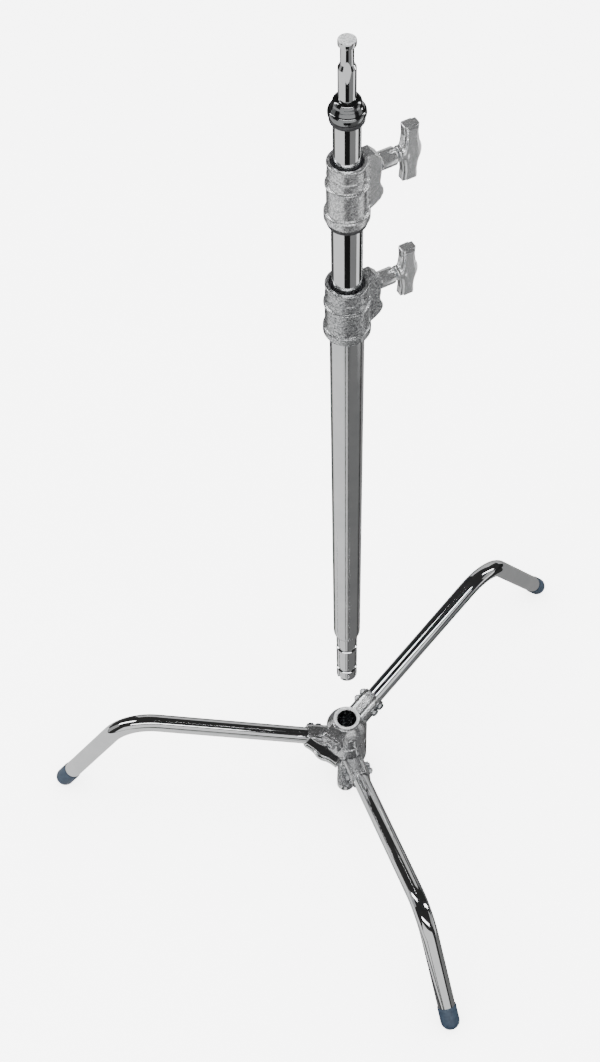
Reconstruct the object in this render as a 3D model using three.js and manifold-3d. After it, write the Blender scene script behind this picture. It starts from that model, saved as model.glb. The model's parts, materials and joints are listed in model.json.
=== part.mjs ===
// C stand: a three-section telescopic column standing clear above its detachable turtle base.
// Millimetres, +Z up. The origin is on the column axis, at the underside of the hub.
import * as THREE from "three";
import { mergeVertices } from "three/addons/utils/BufferGeometryUtils.js";
import Module from "manifold-3d";

const wasm = await Module();
wasm.setup();

// ---------------------------------------------------------------- driving dimensions
const GAP = 0.3; // running clearance between pieces that touch
const SIDES = 24; // facets of a turned piece
const FLOOR = -18; // surface that the feet stand on
const HUB_TOP = 112;
const COLUMN_LIFT = 233; // height of the column's shoulder above the hub
const SHOULDER = HUB_TOP + COLUMN_LIFT;

const OUTER_TUBE = { radius: 17.5, bore: 16.25 };
const MIDDLE_TUBE = { radius: 15, bore: 13.75, bottom: 446 };
const TOP_TUBE = { radius: 12.5, bore: 11.25, bottom: 494, top: 1149.7 };
const GUIDE_LENGTH = 30;

const SPIGOT = { radius: 14, length: 105, grooves: [27, 79], grooveWidth: 9, grooveDepth: 1 };
const PIN = { radius: 8, neckRadius: 5.9, foot: 1112, shoulder: 1197, headBase: 1216.7, top: 1222 };
const CAP = { bottom: 1150, top: 1168, flangeRadius: 17, crownRadius: 12.4 };

// A collar is described from its own lower edge.
const COLLAR = { height: 64, seat: 36, lip: 60, ridge: 40, bead: 12, screw: 49, azimuth: 30 };
const LOWER = { base: 900, band: 21.1, bead: 24, tube: OUTER_TUBE.radius, riser: MIDDLE_TUBE.radius };
const UPPER = { base: 1041, band: 18.1, bead: 21.5, tube: MIDDLE_TUBE.radius, riser: TOP_TUBE.radius };

const KNOB = { length: 57, width: 12.5, thickness: 14.6, neckRadius: 7.4 };
const SCREW_RADIUS = 4;
const SCREW_TRAVEL = 1.75; // the shoe backs off this far in one turn
const SHOE = { height: 18, width: 10, thickness: 3.4 };
const BARREL_RADIUS = 8.5;
const BARREL_STEM_RADIUS = 6;
const LUG_WIDTH = 14;

const POST = { radius: 17, bottom: 4.3, top: 106.7 };
const RING_RADIUS = 30;
const HUB_CLAMP = { azimuth: -127, height: 88, lugEnd: 41, lugWidth: 26, barrelEnd: 46, knob: 57 };

const LEG_TUBE = { radius: 12.5, bore: 11.2, bendRadius: 62, start: 37 };
const FOOT = { radius: 13.6, length: 24 };
const ARM = { width: 31, height: 31, start: 15 };
const BOLT = { radius: 3, headRadius: 5.8, headHeight: 4.5, stations: [44, 56] };

// Each leg: azimuth, height where its line meets the column axis, bend corner, foot reach,
// length of its socket arm, and the span of the ring that turns on the hub post.
const LEGS = {
  right: { azimuth: 45, height: 81, bend: [300, 200], reach: 441, arm: 64, ring: [64, HUB_TOP] },
  left: { azimuth: -175, height: 46, bend: [317, 153], reach: 430, arm: 65, ring: [30.4, 62] },
  front: { azimuth: -71, height: 12, bend: [322, 116], reach: 441, arm: 70, ring: [4.3, 28.4] },
};

// ---------------------------------------------------------------- materials
function metal(color, roughness) {
  return () => new THREE.MeshStandardMaterial({ color, roughness, metalness: 1 });
}

function polymer(color, roughness) {
  return () => new THREE.MeshStandardMaterial({ color, roughness, metalness: 0 });
}

const chromeTube = metal(0xd9dcdf, 0.06);
const castChrome = metal(0xa9adb0, 0.35);
const zincSteel = metal(0x8f9498, 0.3);
const blackRubber = polymer(0x101112, 0.6);
const blueCap = polymer(0x2a3a4c, 0.5);
const nylon = polymer(0x1b1c1e, 0.45);

// ---------------------------------------------------------------- solids
function welded(geometry) {
  geometry.deleteAttribute("normal");
  geometry.deleteAttribute("uv");
  const merged = mergeVertices(geometry, 1e-4);
  const source = merged.index.array;
  const kept = [];
  for (let i = 0; i < source.length; i += 3) {
    const [a, b, c] = [source[i], source[i + 1], source[i + 2]];
    if (a !== b && b !== c && c !== a) kept.push(a, b, c);
  }
  merged.setIndex(kept);
  return merged;
}

function solid(geometry) {
  const closed = welded(geometry);
  const vertProperties = new Float32Array(closed.attributes.position.array);
  const triVerts = new Uint32Array(closed.index.array);
  return new wasm.Manifold(new wasm.Mesh({ numProp: 3, vertProperties, triVerts }));
}

function geometryOf(manifold) {
  const mesh = manifold.getMesh();
  const geometry = new THREE.BufferGeometry();
  geometry.setAttribute("position", new THREE.BufferAttribute(new Float32Array(mesh.vertProperties), 3));
  geometry.setIndex(new THREE.BufferAttribute(new Uint32Array(mesh.triVerts), 1));
  return geometry;
}

const union = (first, ...others) => others.reduce((whole, tool) => whole.add(tool), first);
const minus = (first, ...tools) => tools.reduce((whole, tool) => whole.subtract(tool), first);

// A turned piece about Z, from [radius, height] points taken anticlockwise.
function turned(points, sides = SIDES) {
  const profile = points.map(([r, z]) => new THREE.Vector2(r, z));
  return new THREE.LatheGeometry(profile, sides).rotateX(Math.PI / 2);
}

function ringProfile(inner, outer, bottom, top) {
  return [[inner, bottom], [outer, bottom], [outer, top], [inner, top], [inner, bottom]];
}

function rodProfile(radius, bottom, top) {
  return [[0, bottom], [radius, bottom], [radius, top], [0, top]];
}

const ring = (inner, outer, bottom, top) => turned(ringProfile(inner, outer, bottom, top));
const rod = (radius, bottom, top, sides = SIDES) => turned(rodProfile(radius, bottom, top), sides);

// A turned piece whose axis is laid along +X at height z.
const alongX = (geometry, z = 0) => geometry.rotateY(Math.PI / 2).translate(0, 0, z);
const rodX = (radius, from, to, z, sides = 16) => alongX(rod(radius, from, to, sides), z);

function block(from, to, width, bottom, top) {
  const box = new THREE.BoxGeometry(to - from, width, top - bottom);
  return box.translate((from + to) / 2, 0, (bottom + top) / 2);
}

// A plate in the XZ plane, centred on Y.
function plate(points, width) {
  const outline = new THREE.Shape(points.map(([x, z]) => new THREE.Vector2(x, z)));
  const slab = new THREE.ExtrudeGeometry(outline, { depth: width, bevelEnabled: false });
  return slab.rotateX(Math.PI / 2).translate(0, width / 2, 0);
}

function addPiece(group, name, shape, material) {
  const geometry = shape.isBufferGeometry ? welded(shape) : geometryOf(shape);
  const mesh = new THREE.Mesh(geometry, material());
  mesh.name = name;
  group.add(mesh);
  return mesh;
}

function turnedGroup(parent, azimuth) {
  const group = new THREE.Group();
  group.rotation.z = THREE.MathUtils.degToRad(azimuth);
  parent.add(group);
  return group;
}

// ---------------------------------------------------------------- clamp: screw, T knob, brake shoe
function knobShape(centre, height) {
  const half = KNOB.length / 2;
  const t = KNOB.thickness / 2;
  const side = [[t, half], [t - 0.6, 19], [t + 0.6, 11], [t + 3.4, 4]];
  const inner = [[-t, half], [-t + 0.8, 19], [-t, 11], [-t - 1.5, 4]];
  const below = (points) => points.map(([x, z]) => [x, -z]);
  const outline = [...side, ...below(side).reverse(), ...below(inner), ...inner.toReversed()];
  return plate(outline, KNOB.width).translate(centre, 0, height);
}

// The knob is a bar across the screw; its neck reaches back towards the barrel.
function knob(clamp) {
  const back = clamp.knob - KNOB.thickness / 2;
  const bar = solid(knobShape(clamp.knob, clamp.height));
  const neck = solid(rodX(KNOB.neckRadius, clamp.barrelEnd + 2.5, back + 2, clamp.height));
  const bore = solid(rodX(SCREW_RADIUS + GAP, clamp.barrelEnd, clamp.knob + 2.5, clamp.height));
  return minus(union(bar, neck), bore);
}

function brakeShoe(clamp) {
  const half = SHOE.height / 2;
  const back = clamp.riser + GAP + SHOE.thickness;
  const pad = solid(block(clamp.riser - 3, back, SHOE.width, clamp.height - half, clamp.height + half));
  const tube = solid(rod(clamp.riser + GAP, clamp.height - SHOE.height, clamp.height + SHOE.height));
  return minus(pad, tube);
}

function shoePocket(clamp) {
  const half = SHOE.height / 2 + GAP;
  const back = clamp.riser + SHOE.thickness + SCREW_TRAVEL + 2 * GAP;
  return block(0, back, SHOE.width + 2 * GAP, clamp.height - half, clamp.height + half);
}

function barrel(clamp) {
  const stemStart = clamp.riser + SHOE.thickness + SCREW_TRAVEL + 4 * GAP;
  const bore = SCREW_RADIUS + GAP;
  const profile = [
    [bore, stemStart],
    [BARREL_STEM_RADIUS, stemStart],
    [BARREL_STEM_RADIUS, clamp.lugEnd + GAP],
    [BARREL_RADIUS, clamp.lugEnd + GAP],
    [BARREL_RADIUS, clamp.barrelEnd - 1],
    [BARREL_RADIUS - 1, clamp.barrelEnd],
    [bore, clamp.barrelEnd],
    [bore, stemStart],
  ];
  return alongX(turned(profile, 16), clamp.height);
}

function clampScrew(clamp) {
  const tip = clamp.riser + SHOE.thickness + 2 * GAP;
  return rodX(SCREW_RADIUS, tip, clamp.knob + 2, clamp.height, 12);
}

function addClamp(parent, prefix, clamp) {
  const group = turnedGroup(parent, clamp.azimuth);
  addPiece(group, `${prefix}_brake_shoe`, brakeShoe(clamp), zincSteel);
  addPiece(group, `${prefix}_clamp_barrel`, barrel(clamp), chromeTube);
  addPiece(group, `${prefix}_clamp_screw`, clampScrew(clamp), zincSteel);
  const bar = addPiece(group, `${prefix}_knob`, knob(clamp), castChrome);
  return { group, bar };
}

// ---------------------------------------------------------------- collars of the column
function collarClamp(collar) {
  return {
    azimuth: COLLAR.azimuth,
    height: collar.base + COLLAR.screw,
    riser: collar.riser,
    lugEnd: collar.band + 13.5,
    barrelEnd: collar.band + 30,
    knob: collar.band + 45,
  };
}

function collarBody({ base, band, bead }) {
  const { height, ridge, bead: beadTop } = COLLAR;
  const outline = [
    [0, 0],
    [bead - 2.5, 0],
    [bead, 3],
    [bead, beadTop - 2],
    [bead - 2, beadTop],
    [band + 0.8, beadTop + 1],
    [band + 0.8, ridge - 2],
    [band + 1.5, ridge - 1],
    [band + 1.5, ridge],
    [band, ridge + 1.5],
    [band, height - 4],
    [band + 0.5, height - 3],
    [band + 0.5, height],
    [0, height],
  ];
  return solid(turned(outline).translate(0, 0, base));
}

function collarLug({ base, band }) {
  const outline = [
    [band - 6, COLLAR.height],
    [band - 6, 8],
    [band + 1, 6],
    [band + 7, 10],
    [band + 14.5, 15],
    [band + 16.2, 21],
    [band + 15, 27],
    [band + 12.5, 33],
    [band + 13.5, 40],
    [band + 13.5, COLLAR.height - 6],
    [band + 6, COLLAR.height + 1.5],
    [band, COLLAR.height + 1.5],
  ];
  return solid(plate(outline, LUG_WIDTH).translate(0, 0, base));
}

function collarBore({ base, tube, riser }) {
  const outline = [
    [0, -1],
    [tube + GAP, -1],
    [tube + GAP, COLLAR.lip],
    [riser + 2.4, COLLAR.lip],
    [riser + 2.4, COLLAR.height + 4],
    [0, COLLAR.height + 4],
  ];
  return solid(turned(outline).translate(0, 0, base));
}

function stemHole(clamp) {
  return rodX(BARREL_STEM_RADIUS + GAP, clamp.riser, clamp.lugEnd + 1, clamp.height);
}

function addCollar(parent, prefix, collar) {
  const clamp = collarClamp(collar);
  const { group } = addClamp(parent, prefix, clamp);
  const casting = minus(
    union(collarBody(collar), collarLug(collar)),
    collarBore(collar),
    solid(shoePocket(clamp)),
    solid(stemHole(clamp)),
  );
  addPiece(group, `${prefix}_collar`, casting, castChrome);
  const bushBottom = collar.base + COLLAR.seat;
  const sleeve = ring(collar.riser + GAP, collar.tube, bushBottom, collar.base + COLLAR.lip - GAP);
  addPiece(group, `${prefix}_collar_bush`, minus(solid(sleeve), solid(shoePocket(clamp))), nylon);
}

// ---------------------------------------------------------------- column tubes, pin and spigot
function addTopRiser(parent) {
  const { radius, bore, bottom, top } = TOP_TUBE;
  addPiece(parent, "top_tube", ring(bore, radius, bottom, top), chromeTube);
  const guide = ring(radius + GAP, MIDDLE_TUBE.bore - GAP, bottom, bottom + GUIDE_LENGTH);
  addPiece(parent, "top_tube_guide", guide, nylon);
  addPiece(parent, "top_buffer_ring", ring(radius + GAP, 15.8, top - 4.2, top), blackRubber);
  addPiece(parent, "top_cap", topCap(), chromeTube);
  addPiece(parent, "top_pin", topPin(), chromeTube);
}

function topCap() {
  const { bottom, top, flangeRadius, crownRadius } = CAP;
  const bore = PIN.radius + GAP;
  return turned([
    [bore, bottom],
    [flangeRadius - 2, bottom],
    [flangeRadius, bottom + 2.5],
    [flangeRadius, bottom + 6.5],
    [flangeRadius - 1.6, bottom + 9],
    [crownRadius + 2, bottom + 10.5],
    [crownRadius + 0.6, bottom + 13],
    [crownRadius, top - 2],
    [crownRadius - 1.2, top],
    [bore, top],
    [bore, bottom],
  ]);
}

function topPin() {
  const { radius, neckRadius, foot, shoulder, headBase, top } = PIN;
  return turned([
    [0, foot],
    [TOP_TUBE.bore - GAP, foot],
    [TOP_TUBE.bore - GAP, CAP.bottom - GAP],
    [radius, CAP.bottom - GAP],
    [radius, shoulder],
    [neckRadius, shoulder + 3.5],
    [neckRadius, headBase],
    [radius - 0.6, headBase],
    [radius, headBase + 0.8],
    [radius, top - 0.9],
    [radius - 0.9, top],
    [0, top],
  ]);
}

function addMiddleRiser(parent) {
  const { radius, bore, bottom } = MIDDLE_TUBE;
  addPiece(parent, "middle_tube", ring(bore, radius, bottom, UPPER.base + COLLAR.seat - GAP), chromeTube);
  const guide = ring(radius + GAP, OUTER_TUBE.bore - GAP, bottom, bottom + GUIDE_LENGTH);
  addPiece(parent, "middle_tube_guide", guide, nylon);
  const bumper = ring(radius + GAP, UPPER.bead - 2.3, UPPER.base - 5, UPPER.base - GAP);
  addPiece(parent, "upper_bumper_ring", bumper, blackRubber);
  addCollar(parent, "upper", UPPER);
}

function addOuterColumn(parent) {
  const { radius, bore } = OUTER_TUBE;
  const neck = SPIGOT.radius + GAP;
  const tube = turned([
    [neck, SHOULDER],
    [radius - 2.6, SHOULDER],
    [radius - 0.7, SHOULDER + 4],
    [radius, SHOULDER + 11],
    [radius, LOWER.base + COLLAR.seat - GAP],
    [bore, LOWER.base + COLLAR.seat - GAP],
    [bore, SHOULDER + 11],
    [neck, SHOULDER + 4],
    [neck, SHOULDER],
  ]);
  addPiece(parent, "outer_tube", tube, chromeTube);
  addPiece(parent, "base_spigot", baseSpigot(), chromeTube);
  addCollar(parent, "lower", LOWER);
}

// The spigot has two clamping grooves, a keying notch and a tail pressed into the outer tube.
function baseSpigot() {
  const { radius, length, grooves, grooveWidth, grooveDepth } = SPIGOT;
  const tail = SHOULDER + 26;
  const bottom = SHOULDER - length;
  const outline = [[0, bottom], [radius - 1.2, bottom], [radius, bottom + 1.5]];
  for (const drop of grooves.toReversed()) {
    const middle = SHOULDER - drop;
    outline.push([radius, middle - grooveWidth / 2 - grooveDepth]);
    outline.push([radius - grooveDepth, middle - grooveWidth / 2]);
    outline.push([radius - grooveDepth, middle + grooveWidth / 2]);
    outline.push([radius, middle + grooveWidth / 2 + grooveDepth]);
  }
  outline.push([radius, tail], [0, tail]);
  const notch = block(radius - 4, radius + 2, 5, bottom - 1, bottom + 6);
  notch.rotateZ(THREE.MathUtils.degToRad(-140));
  return minus(solid(turned(outline)), solid(notch));
}

// ---------------------------------------------------------------- legs
// A leg's centre line in the XZ plane: straight, an arc, straight.
class BentPath extends THREE.Curve {
  constructor(start, corner, end, radius) {
    super();
    this.inward = corner.clone().sub(start).normalize();
    this.outward = end.clone().sub(corner).normalize();
    this.turn = Math.acos(this.inward.dot(this.outward));
    const trim = radius * Math.tan(this.turn / 2);
    this.start = start;
    this.arcStart = corner.clone().addScaledVector(this.inward, -trim);
    this.arcEnd = corner.clone().addScaledVector(this.outward, trim);
    this.radius = radius;
    this.lengths = [start.distanceTo(this.arcStart), radius * this.turn, this.arcEnd.distanceTo(end)];
  }

  getPoint(t, target = new THREE.Vector3()) {
    const [first, arc, last] = this.lengths;
    const s = t * (first + arc + last);
    if (s <= first) return this.along(this.start, this.inward, s, target);
    if (s >= first + arc) return this.along(this.arcEnd, this.outward, s - first - arc, target);
    const angle = (s - first) / this.radius;
    const side = new THREE.Vector2(this.inward.y, -this.inward.x);
    const point = this.arcStart.clone();
    point.addScaledVector(this.inward, this.radius * Math.sin(angle));
    point.addScaledVector(side, this.radius * (1 - Math.cos(angle)));
    return target.set(point.x, 0, point.y);
  }

  along(from, direction, distance, target) {
    return target.set(from.x + direction.x * distance, 0, from.y + direction.y * distance);
  }
}

function circlePoints(radius, sides) {
  const points = [];
  for (let i = 0; i < sides; i += 1) {
    const angle = (2 * Math.PI * (i + 0.5)) / sides;
    points.push(new THREE.Vector2(radius * Math.cos(angle), radius * Math.sin(angle)));
  }
  return points;
}

// The leg's slope line leaves the axis at leg.height; frames at distance s along that line.
function legLine(leg) {
  const [x, z] = leg.bend;
  const direction = new THREE.Vector2(x, z - leg.height).normalize();
  const at = (s) => new THREE.Vector2(0, leg.height).addScaledVector(direction, s);
  return { direction, at, tilt: Math.atan2(direction.y, direction.x) };
}

function legPath(leg) {
  const corner = new THREE.Vector2(...leg.bend);
  const footCentre = new THREE.Vector2(leg.reach, FLOOR + FOOT.radius);
  const end = footCentre.clone().sub(corner);
  end.setLength(end.length() - 1 - GAP).add(corner);
  return new BentPath(legLine(leg).at(LEG_TUBE.start), corner, end, LEG_TUBE.bendRadius);
}

// Tilts a tool made along +X to the leg's slope and lifts it to the leg's line.
function onLegLine(leg, geometry) {
  return geometry.rotateY(-legLine(leg).tilt).translate(0, 0, leg.height);
}

function boltHole(leg, station) {
  const hole = rod(BOLT.radius + GAP, -30, 30, 12).rotateX(Math.PI / 2).translate(station, 0, 0);
  return solid(onLegLine(leg, hole));
}

function legTube(leg) {
  const section = new THREE.Shape(circlePoints(LEG_TUBE.radius, 12));
  section.holes.push(new THREE.Path(circlePoints(LEG_TUBE.bore, 6)));
  const options = { steps: 16, extrudePath: legPath(leg), bevelEnabled: false };
  const tube = solid(new THREE.ExtrudeGeometry(section, options));
  return minus(tube, ...BOLT.stations.map((station) => boltHole(leg, station)));
}

// A domed cap whose ball end meets the floor.
function footCap(leg) {
  const path = legPath(leg);
  const slope = Math.atan2(-path.outward.y, path.outward.x);
  const outline = [];
  const dome = 4;
  for (let i = 0; i <= dome; i += 1) {
    const angle = (i * Math.PI) / 2 / dome;
    outline.push([FOOT.radius * Math.cos(angle), -FOOT.radius * Math.sin(angle)]);
  }
  outline[dome][0] = 0;
  outline.reverse();
  outline.push([FOOT.radius, FOOT.length - 1], [FOOT.radius - 0.7, FOOT.length]);
  outline.push([LEG_TUBE.radius + GAP, FOOT.length], [LEG_TUBE.radius + GAP, 1], [0, 1]);
  return turned(outline, 16).rotateY(slope - Math.PI / 2).translate(leg.reach, 0, FLOOR + FOOT.radius);
}

function hexRod(radius, from, to) {
  return new THREE.CylinderGeometry(radius, radius, to - from, 6).translate(0, (from + to) / 2, 0);
}

function shank(radius, from, to) {
  return new THREE.CylinderGeometry(radius, radius, to - from, 12).translate(0, (from + to) / 2, 0);
}

function addBolts(group, name, leg) {
  const face = ARM.width / 2 + GAP;
  BOLT.stations.forEach((station, i) => {
    const head = solid(hexRod(BOLT.headRadius, -face - BOLT.headHeight, -face));
    const bolt = union(head, solid(shank(BOLT.radius, -face - 1, face + BOLT.headHeight + 2)));
    const nut = minus(
      solid(hexRod(BOLT.headRadius, face, face + BOLT.headHeight)),
      solid(shank(BOLT.radius + GAP, face - 1, face + BOLT.headHeight + 1)),
    );
    const place = (shape) => onLegLine(leg, geometryOf(shape).translate(station, 0, 0));
    addPiece(group, `${name}_leg_bolt_${i + 1}`, place(bolt), zincSteel);
    addPiece(group, `${name}_leg_nut_${i + 1}`, place(nut), zincSteel);
  });
}

// The arm is an eight-sided sleeve along the leg's line.
function legArm(leg) {
  const [w, h, c] = [ARM.width / 2, ARM.height / 2, 7];
  const corners = [[w, c - h], [w, h - c], [w - c, h], [c - w, h], [-w, h - c], [-w, c - h], [c - w, -h], [w - c, -h]];
  const outline = new THREE.Shape(corners.map(([y, z]) => new THREE.Vector2(z, y)));
  const options = { depth: leg.arm - ARM.start, bevelEnabled: false };
  const arm = new THREE.ExtrudeGeometry(outline, options).translate(0, 0, ARM.start);
  return solid(onLegLine(leg, arm.rotateY(Math.PI / 2)));
}

function armTools(leg) {
  const bore = rodX(LEG_TUBE.radius + GAP, LEG_TUBE.start - 1, leg.arm + 20, 0);
  return [solid(onLegLine(leg, bore)), ...BOLT.stations.map((station) => boltHole(leg, station))];
}

const postBore = () => solid(rod(POST.radius + GAP, -60, 180));
const clearAbove = (z) => solid(rod(RING_RADIUS + 0.6, z + GAP, z + 80));
const clearBelow = (z) => solid(rod(RING_RADIUS + 0.6, z - 80, z - GAP));

// A socket ring that swings on the hub post, with the arm that grips the leg tube.
function swingSocket(leg) {
  const [bottom, top] = leg.ring;
  const body = solid(turned([
    [0, bottom],
    [RING_RADIUS - 2, bottom],
    [RING_RADIUS, bottom + 2],
    [RING_RADIUS, top - 2],
    [RING_RADIUS - 2, top],
    [0, top],
  ]));
  return minus(union(body, legArm(leg)), postBore(), clearAbove(top), clearBelow(bottom), ...armTools(leg));
}

// The front socket carries a rounded stop lug beside its arm.
function stopLug() {
  const outline = [[10, 5], [56, 5], [61, 7.5], [62.5, 11.5], [61, 15.5], [56, 18], [10, 18]];
  return solid(plate(outline, 26).rotateZ(THREE.MathUtils.degToRad(-21)));
}

function addLeg(parent, name, leg) {
  const group = turnedGroup(parent, leg.azimuth);
  addPiece(group, `${name}_leg_tube`, legTube(leg), chromeTube);
  addPiece(group, `${name}_foot`, footCap(leg), blueCap);
  addBolts(group, name, leg);
  return group;
}

// ---------------------------------------------------------------- hub
function hubClamp() {
  return { ...HUB_CLAMP, riser: SPIGOT.radius };
}

function hubCollarBody() {
  const [bottom, top] = LEGS.right.ring;
  return solid(turned([
    [0, bottom],
    [RING_RADIUS - 2.5, bottom],
    [RING_RADIUS, bottom + 3],
    [RING_RADIUS, top - 20],
    [RING_RADIUS - 4, top - 13],
    [20, top - 6],
    [19.3, top - 1],
    [18.5, top],
    [0, top],
  ]));
}

function hubLug() {
  const { lugEnd, lugWidth, height } = HUB_CLAMP;
  const outline = [[12, height - 15], [lugEnd - 6, height - 15], [lugEnd, height - 9], [lugEnd, height + 11]];
  outline.push([lugEnd - 4, height + 15], [12, height + 18]);
  return solid(plate(outline, lugWidth));
}

function hubCollar() {
  const clamp = hubClamp();
  const toClamp = (shape) => shape.rotateZ(THREE.MathUtils.degToRad(clamp.azimuth));
  const toLeg = (shape) => solid(geometryOf(shape).rotateZ(THREE.MathUtils.degToRad(LEGS.right.azimuth)));
  const whole = union(hubCollarBody(), toLeg(legArm(LEGS.right)), solid(toClamp(geometryOf(hubLug()))));
  const mouth = solid(turned([
    [0, POST.top],
    [SPIGOT.radius + GAP, POST.top],
    [SPIGOT.radius + GAP, HUB_TOP - 2],
    [SPIGOT.radius + 2, HUB_TOP + 0.5],
    [0, HUB_TOP + 0.5],
  ]));
  return minus(
    whole,
    solid(rod(POST.radius + GAP, 0, POST.top + GAP)),
    mouth,
    clearBelow(LEGS.right.ring[0] + GAP),
    solid(toClamp(shoePocket(clamp))),
    solid(toClamp(stemHole(clamp))),
    ...armTools(LEGS.right).map(toLeg),
  );
}

function hubPost() {
  const clamp = hubClamp();
  const window = shoePocket(clamp).rotateZ(THREE.MathUtils.degToRad(clamp.azimuth));
  return minus(solid(ring(SPIGOT.radius + GAP, POST.radius, POST.bottom, POST.top)), solid(window));
}

function hubBaseCap() {
  const top = POST.bottom - GAP;
  return turned([
    [0, 0],
    [RING_RADIUS - 6, 0],
    [RING_RADIUS - 4.5, 1.5],
    [RING_RADIUS - 4.5, top],
    [SPIGOT.radius, top],
    [SPIGOT.radius, top + 2],
    [0, top + 2],
  ]);
}

function addWasher(parent, name, below, above) {
  const washer = ring(POST.radius + GAP, RING_RADIUS - 3, below.ring[1] + GAP, above.ring[0] - GAP);
  addPiece(parent, name, washer, nylon);
}

function addBase(parent) {
  const { right, left, front } = LEGS;
  addPiece(parent, "hub_collar", hubCollar(), castChrome);
  addPiece(parent, "hub_post", hubPost(), zincSteel);
  addPiece(parent, "hub_base_cap", hubBaseCap(), castChrome);
  addWasher(parent, "hub_lower_washer", front, left);
  addWasher(parent, "hub_upper_washer", left, right);
  addLeg(parent, "right", right);
  addPiece(addLeg(parent, "left", left), "left_leg_socket", swingSocket(left), castChrome);
  const frontBody = union(swingSocket(front), stopLug());
  const frontSocket = minus(frontBody, postBore(), ...armTools(front));
  addPiece(addLeg(parent, "front", front), "front_leg_socket", frontSocket, castChrome);
  const { bar } = addClamp(parent, "base", hubClamp());
  bar.geometry.translate(0, 0, -HUB_CLAMP.height).rotateX(Math.PI / 2).translate(0, 0, HUB_CLAMP.height);
}

// ---------------------------------------------------------------- assembly
const stand = new THREE.Group();
stand.name = "c_stand";
addTopRiser(stand);
addMiddleRiser(stand);
addOuterColumn(stand);
addBase(stand);

export default stand;
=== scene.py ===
"""Looks of a c stand: smooth chrome tubes, cast collars, T knobs and bent legs over the CAD frame."""
import json
import math

import bmesh
import bpy
from mathutils import Matrix, Vector


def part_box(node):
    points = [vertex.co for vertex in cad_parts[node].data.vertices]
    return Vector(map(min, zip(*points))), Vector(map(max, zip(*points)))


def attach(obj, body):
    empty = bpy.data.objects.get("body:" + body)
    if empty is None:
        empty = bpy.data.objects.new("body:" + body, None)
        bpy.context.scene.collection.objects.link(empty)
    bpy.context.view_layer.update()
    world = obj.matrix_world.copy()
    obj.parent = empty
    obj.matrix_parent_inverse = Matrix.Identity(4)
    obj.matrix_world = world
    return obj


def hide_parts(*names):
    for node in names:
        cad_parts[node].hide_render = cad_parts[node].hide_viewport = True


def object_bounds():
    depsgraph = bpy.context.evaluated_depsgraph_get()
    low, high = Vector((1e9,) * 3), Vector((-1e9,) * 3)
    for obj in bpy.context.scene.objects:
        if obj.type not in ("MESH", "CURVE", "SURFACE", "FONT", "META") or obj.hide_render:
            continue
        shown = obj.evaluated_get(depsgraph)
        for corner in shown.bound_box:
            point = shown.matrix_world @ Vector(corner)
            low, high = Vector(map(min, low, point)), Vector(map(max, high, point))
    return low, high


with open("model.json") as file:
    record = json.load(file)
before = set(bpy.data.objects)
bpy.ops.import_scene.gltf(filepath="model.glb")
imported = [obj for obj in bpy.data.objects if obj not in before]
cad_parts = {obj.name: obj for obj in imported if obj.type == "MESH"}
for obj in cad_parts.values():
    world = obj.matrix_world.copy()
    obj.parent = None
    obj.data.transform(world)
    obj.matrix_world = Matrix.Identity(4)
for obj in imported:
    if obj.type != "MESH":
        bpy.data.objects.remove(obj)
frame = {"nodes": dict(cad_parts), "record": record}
size_at_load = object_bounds()
RECORD = frame["record"]
MM = 0.001

BODY_OF = {node: body for body, nodes in RECORD["behaviour"]["bodies"].items() for node in nodes}
SLOT_OF = {entry["node"]: entry["material_slot"] for entry in RECORD["subparts"]}

# Millimetres in the row frame, as the CAD has them.
FLOOR = size_at_load[0][2] / MM
HUB_TOP = 112
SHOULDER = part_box("outer_tube")[0][2] / MM
GAP = 0.3
COLLAR = {"height": 64, "seat": 36, "lip": 60, "ridge": 40, "bead": 12, "screw": 49, "azimuth": 30}
LOWER = {
    "base": 900, "band": 21.1, "bead": 24, "tube": 17.5, "riser": 15,
    "finish": "dark_cast", "lug_finish": "dark_cast",
}
UPPER = {
    "base": 1041, "band": 18.1, "bead": 21.5, "tube": 15, "riser": 12.5,
    "finish": "cast_chrome", "lug_finish": "knob_casting",
}
HUB_CLAMP = {
    "azimuth": -127, "height": 88, "lug_end": 41, "barrel_end": 46, "knob": 57, "riser": 14,
    "knob_finish": "hub_polish",
}
KNOB = {"length": 58, "width": 14.4, "thickness": 15.8, "neck": 7.4}
SCREW = {"pitch": 1.75, "root": 3.3, "crest": 4.0}
ARM = {"width": 31, "height": 31, "start": 15}
BOLT_STATIONS = (44, 56)
BOLT = {"head": 5.8, "head_height": 4.5, "shank": 3, "shank_past_nut": 6.4}
RING_RADIUS = 30
POST_RADIUS = 17
SWAGE = {"bore": 14.3, "radius": 14.9, "height": 11}
SPIGOT = {"radius": 14.0, "grooves": (79, 27), "notch_azimuth": -140}
STOP_EAR = {"reach": 54, "radius": 13, "bottom": 5, "top": 18, "azimuth": -21}
LEG_RADIUS = 12.5
FOOT_RADIUS = 13.6
# Each leg: its bearing, the height of its axis at the column, the corner of its bend, the reach of its
# foot, how far its socket arm goes and the span of the socket's ring on the post.
LEGS = {
    "right": {
        "azimuth": 45, "height": 81, "bend": (300, 200), "reach": 441,
        "arm": 64, "ring": (64, HUB_TOP),
    },
    "left": {
        "azimuth": -175, "height": 46, "bend": (317, 153), "reach": 430,
        "arm": 65, "ring": (30.4, 62),
    },
    "front": {
        "azimuth": -71, "height": 12, "bend": (322, 116), "reach": 441,
        "arm": 70, "ring": (4.3, 28.4),
    },
}
LEG_START = 37
LEG_BEND_RADIUS = 62


def heights(node):
    """The lowest and the highest point of a CAD node."""
    low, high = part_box(node)
    return low[2] / MM, high[2] / MM


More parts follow.
